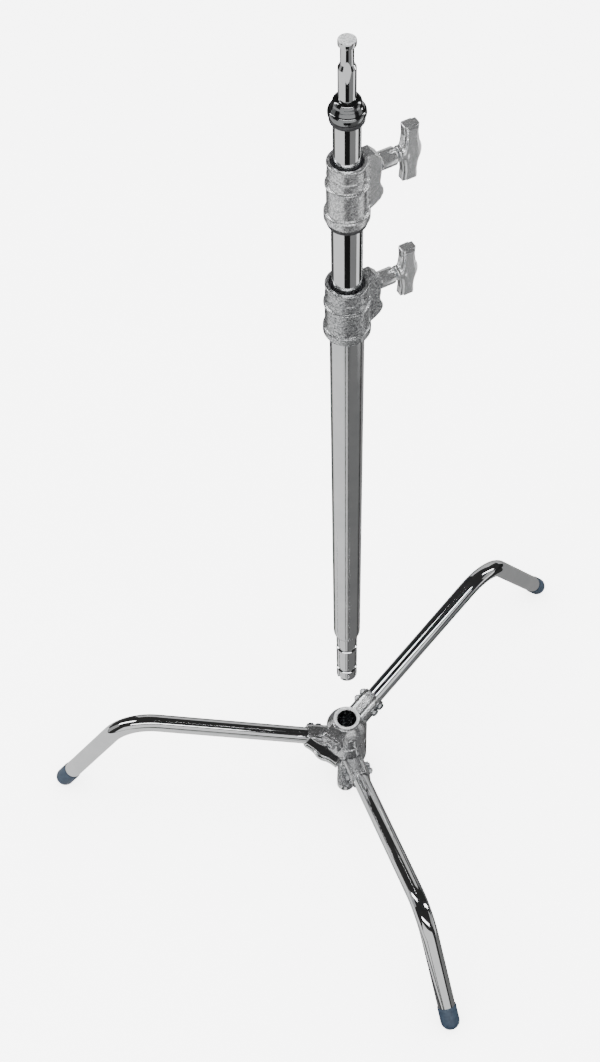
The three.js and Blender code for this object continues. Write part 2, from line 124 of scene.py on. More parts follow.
# ---------------------------------------------------------------- materials
def node_material(name):
    material = bpy.data.materials.new(name)
    material.use_nodes = True
    tree = material.node_tree
    shader = tree.nodes["Principled BSDF"]
    coordinates = tree.nodes.new("ShaderNodeTexCoord")
    return material, tree, shader, coordinates.outputs["Object"]


def noise(tree, vector, scale, detail=3.0, roughness=0.55):
    texture = tree.nodes.new("ShaderNodeTexNoise")
    texture.inputs["Scale"].default_value = scale
    texture.inputs["Detail"].default_value = detail
    texture.inputs["Roughness"].default_value = roughness
    tree.links.new(vector, texture.inputs["Vector"])
    return texture.outputs["Fac"]


def ramp(tree, factor, low, high, start=0.3, end=0.7):
    node = tree.nodes.new("ShaderNodeValToRGB")
    node.color_ramp.elements[0].position = start
    node.color_ramp.elements[1].position = end
    node.color_ramp.elements[0].color = (*low, 1.0)
    node.color_ramp.elements[1].color = (*high, 1.0)
    tree.links.new(factor, node.inputs["Fac"])
    return node.outputs["Color"]


def spread(tree, factor, low, high):
    node = tree.nodes.new("ShaderNodeMapRange")
    node.inputs["From Min"].default_value = 0.3
    node.inputs["From Max"].default_value = 0.7
    node.inputs["To Min"].default_value = low
    node.inputs["To Max"].default_value = high
    tree.links.new(factor, node.inputs["Value"])
    return node.outputs["Result"]


def stretched(tree, vector, scale):
    node = tree.nodes.new("ShaderNodeMapping")
    node.inputs["Scale"].default_value = scale
    tree.links.new(vector, node.inputs["Vector"])
    return node.outputs["Vector"]


def bump(tree, shader, height, strength, distance):
    node = tree.nodes.new("ShaderNodeBump")
    node.inputs["Strength"].default_value = strength
    node.inputs["Distance"].default_value = distance
    tree.links.new(height, node.inputs["Height"])
    tree.links.new(node.outputs["Normal"], shader.inputs["Normal"])


def chrome_material(name, low, high, rough_low, rough_high):
    """Mirror plating: faint haze patches and polishing lines along the tube."""
    material, tree, shader, where = node_material(name)
    shader.inputs["Metallic"].default_value = 1.0
    haze = noise(tree, where, 28.0)
    lines = noise(tree, stretched(tree, where, (1.0, 1.0, 0.02)), 900.0, 2.0)
    colour = ramp(tree, haze, low, high)
    tree.links.new(colour, shader.inputs["Base Color"])
    tree.links.new(spread(tree, haze, rough_low, rough_high), shader.inputs["Roughness"])
    bump(tree, shader, lines, 0.03, 0.0002)
    return material


def cast_material(name, low, high, rough_low, rough_high, grain, metallic=0.93):
    """Plated sand casting: bright and dark grains with pitted bump, partly dull from its grain."""
    material, tree, shader, where = node_material(name)
    shader.inputs["Metallic"].default_value = metallic
    fine = noise(tree, where, 560.0, 5.0, 0.75)
    broad = noise(tree, where, 160.0, 3.0)
    tree.links.new(ramp(tree, fine, low, high, 0.4, 0.6), shader.inputs["Base Color"])
    tree.links.new(spread(tree, broad, rough_low, rough_high), shader.inputs["Roughness"])
    bump(tree, shader, fine, grain, 0.0006)
    return material


def steel_material():
    material, tree, shader, where = node_material("zinc_plated_steel")
    shader.inputs["Metallic"].default_value = 1.0
    cloud = noise(tree, where, 300.0)
    tree.links.new(ramp(tree, cloud, (0.50, 0.52, 0.54), (0.72, 0.73, 0.74)), shader.inputs["Base Color"])
    tree.links.new(spread(tree, cloud, 0.16, 0.32), shader.inputs["Roughness"])
    bump(tree, shader, cloud, 0.06, 0.0003)
    return material


def polymer_material(name, low, high, roughness, scale, grain):
    material, tree, shader, where = node_material(name)
    mottle = noise(tree, where, scale)
    tree.links.new(ramp(tree, mottle, low, high), shader.inputs["Base Color"])
    tree.links.new(spread(tree, mottle, roughness - 0.07, roughness + 0.07), shader.inputs["Roughness"])
    bump(tree, shader, noise(tree, where, scale * 6), grain, 0.0003)
    return material


CHROME = ((0.80, 0.81, 0.82), (0.90, 0.905, 0.91))
# A darker copy of the chrome colours, given to the top cap so that it reads dark.
DARKENED_CHROME_TONES = ((0.26, 0.265, 0.27), (0.38, 0.385, 0.39))
BRIGHT_GRAINS = ((0.30, 0.305, 0.31), (0.97, 0.975, 0.98))
HUB_GRAINS = ((0.26, 0.265, 0.27), (0.97, 0.975, 0.98))
HUB_POLISH = ((0.70, 0.71, 0.72), (0.90, 0.905, 0.91))
DARK_GRAINS = ((0.1, 0.105, 0.11), (0.78, 0.79, 0.795))
MACHINED = ((0.40, 0.41, 0.42), (0.95, 0.955, 0.96))
KNOB_GRAINS = ((0.72, 0.73, 0.74), (0.94, 0.945, 0.95))
RUBBER = ((0.006, 0.006, 0.007), (0.02, 0.02, 0.022))
NYLON = ((0.01, 0.01, 0.012), (0.03, 0.03, 0.034))
SLATE_BLUE = ((0.009, 0.016, 0.027), (0.018, 0.03, 0.047))

MATERIALS = {
    "chrome_tube": chrome_material("mirror_chrome", *CHROME, 0.035, 0.075),
    "satin_chrome": chrome_material("satin_chrome", *CHROME, 0.13, 0.19),
    "darkened_chrome": chrome_material("darkened_chrome", *DARKENED_CHROME_TONES, 0.1, 0.18),
    "cast_chrome": cast_material("cast_chrome", *BRIGHT_GRAINS, 0.14, 0.26, 0.3),
    "hub_cast": cast_material("hub_cast", *HUB_GRAINS, 0.1, 0.2, 0.3, 0.97),
    "hub_polish": cast_material("hub_polish", *HUB_POLISH, 0.08, 0.14, 0.06, 1.0),
    "dark_cast": cast_material("dark_cast", *DARK_GRAINS, 0.16, 0.28, 0.3),
    "machined_end": cast_material("machined_end", *MACHINED, 0.4, 0.55, 0.5, 0.75),
    "knob_casting": cast_material("knob_casting", *KNOB_GRAINS, 0.1, 0.2, 0.1, 0.95),
    "zinc_steel": steel_material(),
    "black_rubber": polymer_material("black_rubber", *RUBBER, 0.5, 220, 0.2),
    "nylon": polymer_material("black_nylon", *NYLON, 0.38, 180, 0.12),
    "blue_cap": polymer_material("slate_blue_cap", *SLATE_BLUE, 0.42, 260, 0.2),
}


# ---------------------------------------------------------------- mesh building, millimetres in
def raw_mesh(name, vertices, faces):
    mesh = bpy.data.meshes.new(name)
    mesh.from_pydata([tuple(Vector(v) * MM) for v in vertices], [], faces)
    work = bmesh.new()
    work.from_mesh(mesh)
    bmesh.ops.recalc_face_normals(work, faces=work.faces)
    work.to_mesh(mesh)
    work.free()
    piece = bpy.data.objects.new(name, mesh)
    bpy.context.collection.objects.link(piece)
    return piece


def turned(name, profile, segments=96):
    """A closed turned body about Z from [radius, height] points; points at radius 0 become poles."""
    points = profile[:-1] if profile[0] == profile[-1] else list(profile)
    vertices, rows = [], []
    for radius, z in points:
        if radius == 0:
            rows.append([len(vertices)] * segments)
            vertices.append((0, 0, z))
            continue
        rows.append(range(len(vertices), len(vertices) + segments))
        for i in range(segments):
            angle = 2 * math.pi * i / segments
            vertices.append((radius * math.cos(angle), radius * math.sin(angle), z))
    faces = []
    wrap = profile[0] == profile[-1]
    pairs = list(zip(rows, rows[1:])) + ([(rows[-1], rows[0])] if wrap else [])
    for lower, upper in pairs:
        for i in range(segments):
            j = (i + 1) % segments
            corners = list(dict.fromkeys((lower[i], lower[j], upper[j], upper[i])))
            if len(corners) > 2:
                faces.append(corners)
    return raw_mesh(name, vertices, faces)


def ring(name, inner, outer, bottom, top, edge=0.4):
    return turned(name, [
        (inner, bottom), (outer - edge, bottom), (outer, bottom + edge), (outer, top - edge),
        (outer - edge, top), (inner, top), (inner, bottom),
    ])


def rod(name, radius, bottom, top, segments=96):
    return turned(name, [(0, bottom), (radius, bottom), (radius, top), (0, top)], segments)


def plate(name, outline, width):
    """An outline of [x, z] points, extruded to a width centred on Y."""
    half = width / 2
    count = len(outline)
    vertices = [(x, side, z) for side in (-half, half) for x, z in outline]
    faces = [list(range(count)), list(range(count, 2 * count))]
    for i in range(count):
        j = (i + 1) % count
        faces.append([i, j, count + j, count + i])
    return raw_mesh(name, vertices, faces)


def sweep(name, points, radius, segments=48):
    """A round bar along points in the XZ plane."""
    vertices = []
    for i, point in enumerate(points):
        before, after = points[max(i - 1, 0)], points[min(i + 1, len(points) - 1)]
        along = (after - before).normalized()
        normal = Vector((-along.z, 0, along.x))
        for k in range(segments):
            angle = 2 * math.pi * k / segments
            spoke = math.cos(angle) * normal + math.sin(angle) * Vector((0, 1, 0))
            vertices.append(point + radius * spoke)
    faces = [list(range(segments)), list(range(len(vertices) - segments, len(vertices)))]
    for i in range(len(points) - 1):
        for k in range(segments):
            j = (k + 1) % segments
            a, b = i * segments, (i + 1) * segments
            faces.append([a + k, a + j, b + j, b + k])
    return raw_mesh(name, vertices, faces)


def moved(piece, matrix):
    """Applies a matrix whose translation is in millimetres."""
    scaled = matrix.copy()
    scaled.translation = matrix.translation * MM
    piece.data.transform(scaled)
    return piece


def along_x(piece, z=0):
    return moved(piece, Matrix.Translation((0, 0, z)) @ Matrix.Rotation(math.pi / 2, 4, "Y"))


def azimuth(piece, degrees):
    return moved(piece, Matrix.Rotation(math.radians(degrees), 4, "Z"))


def apply_modifiers(piece):
    graph = bpy.context.evaluated_depsgraph_get()
    graph.update()
    baked = bpy.data.meshes.new_from_object(piece.evaluated_get(graph))
    piece.modifiers.clear()
    piece.data = baked
    return piece


def merged(name, parts):
    """Overlapping closed bodies, gathered in one mesh."""
    work = bmesh.new()
    for part in parts:
        work.from_mesh(part.data)
        bpy.data.objects.remove(part)
    mesh = bpy.data.meshes.new(name)
    work.to_mesh(mesh)
    work.free()
    piece = bpy.data.objects.new(name, mesh)
    bpy.context.collection.objects.link(piece)
    return piece


def cut(piece, tool):
    modifier = piece.modifiers.new("cut", "BOOLEAN")
    modifier.operation = "DIFFERENCE"
    modifier.solver = "EXACT"
    modifier.object = tool
    apply_modifiers(piece)
    bpy.data.objects.remove(tool)
    return piece


def cast(name, adds, cuts=(), voxel=0.6, softness=5):
    """A casting: bodies fused with soft fillets, then bored."""
    piece = merged(name, adds)
    remesh = piece.modifiers.new("fuse", "REMESH")
    remesh.mode = "VOXEL"
    remesh.voxel_size = voxel * MM
    remesh.use_smooth_shade = True
    smooth = piece.modifiers.new("soften", "SMOOTH")
    smooth.factor = 0.5
    smooth.iterations = softness
    apply_modifiers(piece)
    for tool in cuts:
        cut(piece, tool)
    return piece


def dress(piece, node, slot=None, finish=None, angle=32):
    """Shades the piece, gives it its material and lets it stand for its CAD node."""
    mesh = piece.data
    mesh.polygons.foreach_set("use_smooth", [True] * len(mesh.polygons))
    mesh.set_sharp_from_angle(angle=math.radians(angle))
    slot = slot or SLOT_OF[node]
    mesh.materials.clear()
    mesh.materials.append(MATERIALS[finish or slot])
    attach(piece, BODY_OF[node])
    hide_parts(node)
    return piece


def finish_faces(piece, finish, chosen):
    """Gives a second finish to the faces that a test picks."""
    piece.data.materials.append(MATERIALS[finish])
    for face in piece.data.polygons:
        if chosen(face):
            face.material_index = 1


# ---------------------------------------------------------------- clamps
def below(points):
    return [(x, -z) for x, z in points]


def knob_outline(centre, height):
    half, t = KNOB["length"] / 2, KNOB["thickness"] / 2
    outer = [(t, half), (t - 0.6, 19), (t + 0.6, 11), (t + 2.6, 6), (t + 3.4, 2)]
    inner = [(-t, half), (-t + 0.8, 19), (-t, 11), (-t - 1.5, 4)]
    outline = outer + below(outer)[::-1] + below(inner) + inner[::-1]
    return [(centre + x, height + z) for x, z in outline]


def add_knob(prefix, clamp, level=False):
    centre, height, width = clamp["knob"], clamp["height"], KNOB["width"]
    back = centre - KNOB["thickness"] / 2
    outline = knob_outline(centre, height)
    crown = [(centre + 0.7 * (x - centre), height + 0.93 * (z - height)) for x, z in outline]
    bars = [plate("bar", outline, 0.58 * width), plate("crown", crown, width)]
    neck = along_x(turned("neck", [
        (0, clamp["barrel_end"] + 2.5), (KNOB["neck"] - 0.6, clamp["barrel_end"] + 2.5),
        (KNOB["neck"], clamp["barrel_end"] + 3.2), (KNOB["neck"] - 0.3, back - 2),
        (KNOB["neck"] + 0.4, back + 3), (0, back + 3),
    ]), height)
    piece = cast(f"{prefix}_t_knob_cast", [*bars, neck], voxel=0.45, softness=30)
    if level:
        lift = Matrix.Translation((0, 0, height))
        moved(piece, lift @ Matrix.Rotation(math.pi / 2, 4, "X") @ lift.inverted())
    dress(azimuth(piece, clamp["azimuth"]), f"{prefix}_knob", finish=clamp.get("knob_finish"), angle=50)


def add_screw(prefix, clamp):
    start = clamp["riser"] + 3.4 + 2 * GAP
    end = clamp["knob"] + 2
    pitch, root, crest = SCREW["pitch"], SCREW["root"], SCREW["crest"]
    profile = [(0, start), (root, start)]
    for i in range(int((end - start) / pitch)):
        base = start + i * pitch
        profile += [(root, base + 0.2), (crest, base + 0.8), (crest, base + 1.0), (root, base + 1.6)]
    profile += [(root, end), (0, end)]
    piece = along_x(turned(f"{prefix}_screw_threaded", profile, 40), clamp["height"])
    dress(azimuth(piece, clamp["azimuth"]), f"{prefix}_clamp_screw", angle=25)


def add_barrel(prefix, clamp):
    start = clamp["riser"] + 6.35
    lug, end, bore = clamp["lug_end"] + GAP, clamp["barrel_end"], 4.3
    piece = along_x(turned(f"{prefix}_barrel_turned", [
        (bore, start), (6, start), (6, lug), (8.1, lug), (8.5, lug + 0.5), (8.5, end - 1.2), (8.2, end - 0.5),
        (7.6, end), (bore, end), (bore, start),
    ]), clamp["height"])
    dress(azimuth(piece, clamp["azimuth"]), f"{prefix}_clamp_barrel", finish="knob_casting")


# ---------------------------------------------------------------- collars
def collar_clamp(collar):
    band = collar["band"]
    return {
        "azimuth": COLLAR["azimuth"], "height": collar["base"] + COLLAR["screw"], "riser": collar["riser"],
        "lug_end": band + 13.5, "barrel_end": band + 30, "knob": band + 45,
    }


def collar_profile(collar):
    band, bead = collar["band"], collar["bead"]
    height, ridge, top = COLLAR["height"], COLLAR["ridge"], COLLAR["bead"]
    points = [
        (0, 0), (bead - 3.2, 0), (bead - 1.2, 1), (bead, 3.4), (bead, top - 2.6), (bead - 0.7, top - 1.2),
        (bead - 2, top - 0.6), (band + 0.8, top + 1), (band + 0.8, ridge - 2), (band + 2.1, ridge - 1),
        (band + 2.1, ridge + 0.4), (band, ridge + 1.6), (band, ridge + 9), (band + 0.5, ridge + 10),
        (band + 0.5, ridge + 10.8), (band, ridge + 11.6), (band, height - 3.5), (band + 0.5, height - 2.6),
        (band + 0.5, height - 0.6), (band, height), (0, height),
    ]
    return [(radius, collar["base"] + z) for radius, z in points]


def collar_lug(collar):
    band, height = collar["band"], COLLAR["height"]
    points = [
        (band - 5, height), (band - 5, 8), (band + 1, 6), (band + 7, 9), (band + 13, 13.5), (band + 15.6, 18),
        (band + 16.2, 21), (band + 15.6, 25), (band + 13.4, 29.5), (band + 12.5, 33), (band + 13.2, 38),
        (band + 13.5, 42), (band + 13.5, height - 6), (band + 6, height + 1.5), (band, height + 1.5),
    ]
    return plate("lug", [(x, collar["base"] + z) for x, z in points], 14)


def add_collar(prefix, collar):
    base = collar["base"]
    bore = turned("bore", [
        (0, base - 4), (collar["tube"] + GAP, base - 4), (collar["tube"] + GAP, base + COLLAR["lip"]),
        (collar["riser"] + 2.4, base + COLLAR["lip"]), (collar["riser"] + 2.4, base + 62.8),
        (collar["riser"] + 3.4, base + 65), (collar["riser"] + 3.4, base + 69), (0, base + 69),
    ])
    body = turned("body", collar_profile(collar))
    piece = cast(f"{prefix}_collar_cast", [body, collar_lug(collar)], [bore], voxel=0.45, softness=1)
    dress(azimuth(piece, COLLAR["azimuth"]), f"{prefix}_collar", finish=collar["finish"], angle=40)
    reach, sill = (collar["band"] + 3.2) * MM, (base + COLLAR["bead"]) * MM
    finish_faces(piece, collar["lug_finish"],
                 lambda face: face.center.xy.length > reach and face.center.z > sill)
    seat, lip = base + COLLAR["seat"], base + COLLAR["lip"] - GAP
    bush = ring(f"{prefix}_bush_turned", collar["riser"] + GAP, collar["tube"], seat, lip)
    dress(bush, f"{prefix}_collar_bush")
    clamp = collar_clamp(collar)
    add_barrel(prefix, clamp)
    add_screw(prefix, clamp)
    add_knob(prefix, clamp)


# ---------------------------------------------------------------- column
def add_tube(name, node, bore, radius):
    dress(ring(name, bore, radius, *heights(node)), node)


def add_outer_tube():
    _, top = heights("outer_tube")
    bore, neck, rise = SWAGE["bore"], SWAGE["radius"], SWAGE["height"]
    profile = [(bore, SHOULDER), (neck, SHOULDER)]
    for i in range(9):
        angle = math.pi / 2 * i / 8
        profile.append((neck + 2.6 * math.sin(angle), SHOULDER + rise * (1 - math.cos(angle))))
    profile += [
        (17.5, top), (16.25, top), (16.25, SHOULDER + rise), (bore, SHOULDER + 4), (bore, SHOULDER),
    ]
    dress(turned("outer_tube_swaged", profile, 128), "outer_tube", finish="satin_chrome")


def add_spigot():
    bottom, top = heights("base_spigot")
    radius = SPIGOT["radius"]
    profile = [(0, bottom), (radius - 1.2, bottom), (radius - 0.3, bottom + 0.5), (radius, bottom + 1.5)]
    for drop in SPIGOT["grooves"]:
        middle = SHOULDER - drop
        profile += [
            (radius, middle - 5.6), (radius - 0.4, middle - 5.2), (radius - 1.9, middle - 4.4),
            (radius - 1.9, middle + 4.4), (radius - 0.4, middle + 5.2), (radius, middle + 5.6),
        ]
    profile += [(radius, top), (0, top)]
    piece = turned("base_spigot_turned", profile)
    notch = plate("notch", [(10, bottom - 1), (17, bottom - 1), (17, bottom + 6), (10, bottom + 6)], 5)
    dress(cut(piece, azimuth(notch, SPIGOT["notch_azimuth"])), "base_spigot")


def add_cap():
    bottom, top = heights("top_cap")
    profile = [(8.3, bottom), (14.8, bottom)]
    for i in range(13):
        angle = math.pi * (i / 12 - 0.5)
        profile.append((15 + 2 * math.cos(angle), bottom + 4.4 + 4.0 * math.sin(angle)))
    profile += [
        (14.6, bottom + 9.2), (14.4, bottom + 10.4), (13.6, bottom + 11.4), (13.1, bottom + 12.4),
        (12.9, bottom + 14), (12.5, bottom + 15.6), (11.6, bottom + 17), (10.4, top - 0.2), (9.6, top),
        (8.3, top), (8.3, bottom),
    ]
    # The top cap takes the darker copy of the chrome colours.
    dress(turned("top_cap_domed", profile), "top_cap", finish="darkened_chrome", angle=45)


def add_pin():
    foot, top = heights("top_pin")
    shoulder, head = top - 25, top - 5.3
    piece = turned("top_pin_turned", [
        (0, foot), (10.9, foot), (10.9, 1149.7), (8, 1149.7), (8, shoulder - 0.4), (7.8, shoulder),
        (6.2, shoulder + 2.9), (5.9, shoulder + 3.5), (5.9, head), (7.2, head), (7.8, head + 0.4),
        (8, head + 0.9), (8, top - 0.9), (7.7, top - 0.3), (7.1, top), (0, top),
    ])
    dress(piece, "top_pin")
    finish_faces(piece, "machined_end", lambda face: face.center.z > (top - 0.5) * MM)


def add_rubber_ring(name, node, inner, outer):
    bottom, top = heights(node)
    bottom = max(bottom, top - 4)
    middle, half = (bottom + top) / 2, (top - bottom) / 2
    profile = [(inner, bottom)]
    for i in range(11):
        angle = math.pi * (i / 10 - 0.5)
        profile.append((outer - half * 0.7 * (1 - math.cos(angle)), middle + half * math.sin(angle)))
    profile += [(inner, top), (inner, bottom)]
    dress(turned(name, profile), node, angle=60)


def add_column():
    add_tube("top_tube_smooth", "top_tube", 11.25, 12.5)
    add_tube("middle_tube_smooth", "middle_tube", 13.75, 15)
    add_tube("top_guide_sleeve", "top_tube_guide", 12.8, 13.45)
    add_tube("middle_guide_sleeve", "middle_tube_guide", 15.3, 15.95)
    add_outer_tube()
    add_spigot()
    add_cap()
    add_pin()
    add_rubber_ring("top_buffer_rounded", "top_buffer_ring", 12.8, 15.8)
    add_rubber_ring("upper_bumper_rounded", "upper_bumper_ring", 15.3, 19.2)
    add_collar("upper", UPPER)
    add_collar("lower", LOWER)


# ---------------------------------------------------------------- legs
def leg_line(leg):
    x, z = leg["bend"]
    direction = Vector((x, 0, z - leg["height"])).normalized()
    return direction, math.atan2(direction.z, direction.x)


def on_leg(piece, leg):
    _, tilt = leg_line(leg)
    return moved(piece, Matrix.Translation((0, 0, leg["height"])) @ Matrix.Rotation(-tilt, 4, "Y"))


def leg_points(leg):
    """Centre line: straight, an arc, straight, ending inside the foot."""
    direction, _ = leg_line(leg)
    start = Vector((0, 0, leg["height"])) + direction * LEG_START
    corner = Vector((leg["bend"][0], 0, leg["bend"][1]))
    foot = Vector((leg["reach"], 0, FLOOR + FOOT_RADIUS))
    down = (foot - corner).normalized()
    turn = direction.angle(down)
    trim = LEG_BEND_RADIUS * math.tan(turn / 2)
    arc_start = corner - direction * trim
    side = Vector((direction.z, 0, -direction.x))
    points = [start]
    steps = 28
    for i in range(steps + 1):
        angle = turn * i / steps
        reach = direction * math.sin(angle) + side * (1 - math.cos(angle))
        points.append(arc_start + LEG_BEND_RADIUS * reach)
    points.append(foot - down * 1.3)
    return points, down


def rounded_sleeve(leg):
    """The socket arm: a rounded box along the leg line that narrows a little to its mouth."""
    w, h, c = ARM["width"] / 2, ARM["height"] / 2, 9
    outline = []
    for sx, sy, start in ((1, 1, 0), (-1, 1, 90), (-1, -1, 180), (1, -1, 270)):
        for i in range(6):
            angle = math.radians(start + 90 * i / 5)
            outline.append((sx * (w - c) + c * math.cos(angle), sy * (h - c) + c * math.sin(angle)))
    vertices, count = [], len(outline)
    for x, shrink in ((ARM["start"], 1.0), (leg["arm"] - 10, 1.0), (leg["arm"], 0.93)):
        vertices += [(x, y * shrink, z * shrink) for y, z in outline]
    faces = [list(range(count)), list(range(2 * count, 3 * count))]
    for row in (0, count):
        for i in range(count):
            j = (i + 1) % count
            faces.append([row + i, row + j, row + count + j, row + count + i])
    return on_leg(raw_mesh("sleeve", vertices, faces), leg)


def tube_bore(leg):
    return on_leg(along_x(rod("tube_bore", LEG_RADIUS + GAP, LEG_START - 1, leg["arm"] + 20)), leg)


def slit(leg):
    """The saw cut under the sleeve that lets the bolts pinch the tube."""
    low = -ARM["height"]
    return on_leg(plate("slit", [(LEG_START, low), (90, low), (90, -5), (LEG_START, -5)], 2.2), leg)


def post_bore():
    return rod("post_bore", POST_RADIUS + GAP, -40, 170)


def clear_band(low, high):
    return rod("clear", RING_RADIUS + 0.8, low, high)


def ring_body(leg):
    bottom, top = leg["ring"]
    return turned("ring_body", [
        (0, bottom), (RING_RADIUS - 2, bottom), (RING_RADIUS - 0.6, bottom + 0.6), (RING_RADIUS, bottom + 2),
        (RING_RADIUS, top - 2), (RING_RADIUS - 0.6, top - 0.6), (RING_RADIUS - 2, top), (0, top),
    ])


def stop_lug():
    """The front socket's rounded ear, which stops the folding legs."""
    reach, radius = STOP_EAR["reach"], STOP_EAR["radius"]
    bottom, top = STOP_EAR["bottom"], STOP_EAR["top"]
    end = moved(rod("ear_end", radius, bottom, top), Matrix.Translation((reach, 0, 0)))
    ear = plate("ear", [(10, bottom), (reach, bottom), (reach, top), (10, top)], 2 * radius)
    return [azimuth(piece, STOP_EAR["azimuth"]) for piece in (ear, end)]


def add_socket(name, leg, extra=()):
    bottom, top = leg["ring"]
    cuts = [
        tube_bore(leg), slit(leg), post_bore(), clear_band(top, top + 60), clear_band(bottom - 60, bottom),
    ]
    piece = cast(f"{name}_socket_cast", [ring_body(leg), rounded_sleeve(leg), *extra], cuts)
    dress(azimuth(piece, leg["azimuth"]), f"{name}_leg_socket", finish="hub_cast", angle=40)


def across(piece):
    return moved(piece, Matrix.Rotation(math.pi / 2, 4, "X"))


def hexagon(name, radius, start, end, bevel=0.5):
    flat = radius - bevel
    return across(turned(name, [
        (0, start), (flat, start), (radius, start + bevel), (radius, end - bevel), (flat, end), (0, end),
    ], 6))


def add_bolts(name, leg):
    face = ARM["width"] / 2 + GAP
    head, thick = BOLT["head"], BOLT["head_height"]
    for i, station in enumerate(BOLT_STATIONS, 1):
        for kind, parts in (
            ("bolt", [
                hexagon("head", head, face, face + thick),
                across(rod("shank", BOLT["shank"], -face - BOLT["shank_past_nut"], face + 1, 24)),
            ]),
            ("nut", [hexagon("nut", head, -face - thick, -face)]),
        ):
            piece = merged(f"{name}_{kind}_{i}_bevelled", parts)
            moved(piece, Matrix.Translation((station, 0, 0)))
            dress(azimuth(on_leg(piece, leg), leg["azimuth"]), f"{name}_leg_{kind}_{i}", angle=25)


def add_foot(name, leg, down):
    profile = []
    for i in range(17):
        angle = math.pi / 2 * (1 - i / 16)
        profile.append((FOOT_RADIUS * math.cos(angle) if i else 0, -FOOT_RADIUS * math.sin(angle)))
    profile += [(FOOT_RADIUS, 22.6), (13.4, 23.5), (13.0, 24), (12.8, 24), (12.8, 1), (0, 1)]
    lean = math.atan2(-down.z, down.x) - math.pi / 2
    place = Matrix.Translation((leg["reach"], 0, FLOOR + FOOT_RADIUS))
    piece = moved(turned(f"{name}_foot_domed", profile, 64), place @ Matrix.Rotation(lean, 4, "Y"))
    dress(azimuth(piece, leg["azimuth"]), f"{name}_foot", angle=50)


def add_leg(name, leg):
    points, down = leg_points(leg)
    tube = sweep(f"{name}_leg_tube_bent", points, LEG_RADIUS, 64)
    dress(azimuth(tube, leg["azimuth"]), f"{name}_leg_tube", angle=45)
    add_foot(name, leg, down)
    add_bolts(name, leg)


# ---------------------------------------------------------------- hub
def add_hub_collar():
    leg, clamp = LEGS["right"], HUB_CLAMP
    bottom, top = leg["ring"]
    top -= 0.3
    body = turned("hub_body", [
        (0, bottom), (RING_RADIUS - 2.5, bottom), (RING_RADIUS - 0.8, bottom + 1), (RING_RADIUS, bottom + 3),
        (RING_RADIUS, top - 21), (RING_RADIUS - 1, top - 18), (RING_RADIUS - 4, top - 13), (21, top - 7),
        (19.6, top - 5), (19.4, top - 1), (18.8, top - 0.2), (18, top), (0, top),
    ])
    arm = azimuth(rounded_sleeve(leg), leg["azimuth"])
    low, high, end = clamp["height"] - 15, clamp["height"] + 18, clamp["lug_end"]
    lug = plate("hub_lug", [
        (12, low), (end - 6, low), (end - 1, low + 3), (end, low + 8), (end, high - 8), (end - 2, high - 4),
        (end - 6, high - 2.4), (12, high),
    ], 26)
    bore = SWAGE["bore"]
    cuts = [
        azimuth(tube_bore(leg), leg["azimuth"]),
        azimuth(slit(leg), leg["azimuth"]),
        rod("post_seat", POST_RADIUS + GAP, 0, 107),
        turned("mouth", [
            (0, 90), (bore, 90), (bore, top - 2.4), (16.4, top + 0.2), (16.4, top + 4), (0, top + 4),
        ]),
        clear_band(bottom - 60, bottom),
    ]
    piece = cast("hub_collar_cast", [body, arm, azimuth(lug, clamp["azimuth"])], cuts)
    dress(piece, "hub_collar", finish="hub_cast", angle=40)
    rim, sill = 19.5 * MM, (top - 3) * MM
    finish_faces(piece, "machined_end", lambda face: (
        face.center.xy.length < rim and face.center.z > sill and face.normal.z > 0.5
    ))


def add_hub():
    add_hub_collar()
    dress(ring("hub_post_turned", SWAGE["bore"], POST_RADIUS, *heights("hub_post")), "hub_post")
    cap = turned("hub_cap_turned", [
        (0, 0), (24, 0), (24.8, 0.4), (25.4, 1.2), (25.5, 2), (25.5, 3.6), (25, 4), (14, 4), (14, 6), (0, 6),
    ])
    dress(cap, "hub_base_cap")
    for node in ("hub_lower_washer", "hub_upper_washer"):
        dress(ring(f"{node}_turned", POST_RADIUS + GAP, RING_RADIUS - 3, *heights(node), 0.3), node)
    add_barrel("base", HUB_CLAMP)
    add_screw("base", HUB_CLAMP)
    add_knob("base", HUB_CLAMP, level=True)


def finish_kept_nodes():
    """The brake shoes stay CAD pieces, with a procedural steel on each."""
    for prefix in ("upper", "lower", "base"):
        shoe = frame["nodes"][f"{prefix}_brake_shoe"]
        shoe.data.materials.clear()
        shoe.data.materials.append(MATERIALS["zinc_steel"])


# ---------------------------------------------------------------- stage, light, camera
def emission_material(name, colour, strength):
    material = bpy.data.materials.new(name)
    material.use_nodes = True
    tree = material.node_tree
    tree.nodes.clear()
    output = tree.nodes.new("ShaderNodeOutputMaterial")
    glow = tree.nodes.new("ShaderNodeEmission")
    glow.inputs["Color"].default_value = (*colour, 1.0)
    glow.inputs["Strength"].default_value = strength
    tree.links.new(glow.outputs["Emission"], output.inputs["Surface"])
    return material


def only_in_reflections(piece):
    piece.visible_camera = False
    piece.visible_diffuse = False
    piece.visible_shadow = False
    piece.visible_transmission = False


